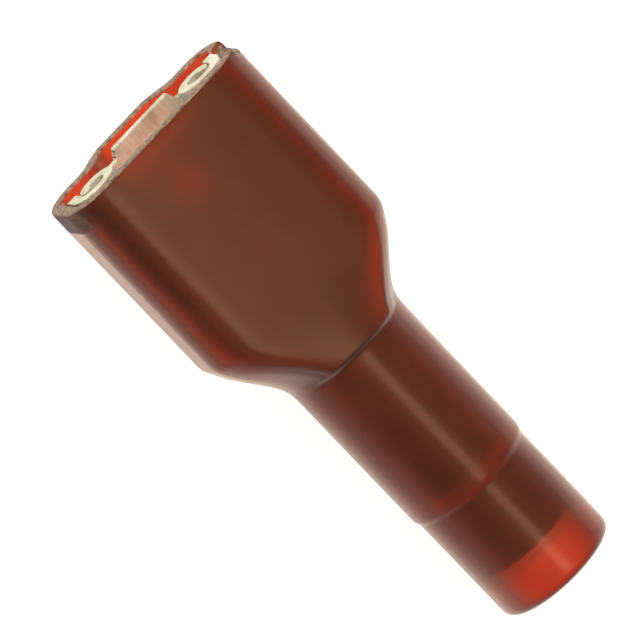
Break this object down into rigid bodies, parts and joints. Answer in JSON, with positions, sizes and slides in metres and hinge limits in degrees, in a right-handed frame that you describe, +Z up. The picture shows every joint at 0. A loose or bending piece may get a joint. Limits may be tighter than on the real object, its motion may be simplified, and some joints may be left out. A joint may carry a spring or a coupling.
{
  "type": "female spade terminal",
  "caption": "Fully insulated female spade terminal: translucent red nylon housing over a tin-plated receptacle for a 6.35 x 0.8 mm tab, with a wire barrel and an insulation grip sleeve.",
  "frame": {"origin": "centre of the grip sleeve's bore, on the axis of the barrel, 3.2 mm in from the wire end", "axes": "+X along the terminal to the mouth that the tab goes into, +Y across the flat box, +Z up through its flat face"},
  "size_m": [0.022, 0.0086, 0.0054],
  "materials": {
    "red_nylon": "gloss",
    "tinned_brass": "satin",
    "tinned_sleeve": "satin"
  },
  "bodies": {
    "root": {"insulator": "red_nylon", "receptacle": "tinned_brass", "grip_sleeve": "tinned_sleeve"}
  },
  "joints": []
}
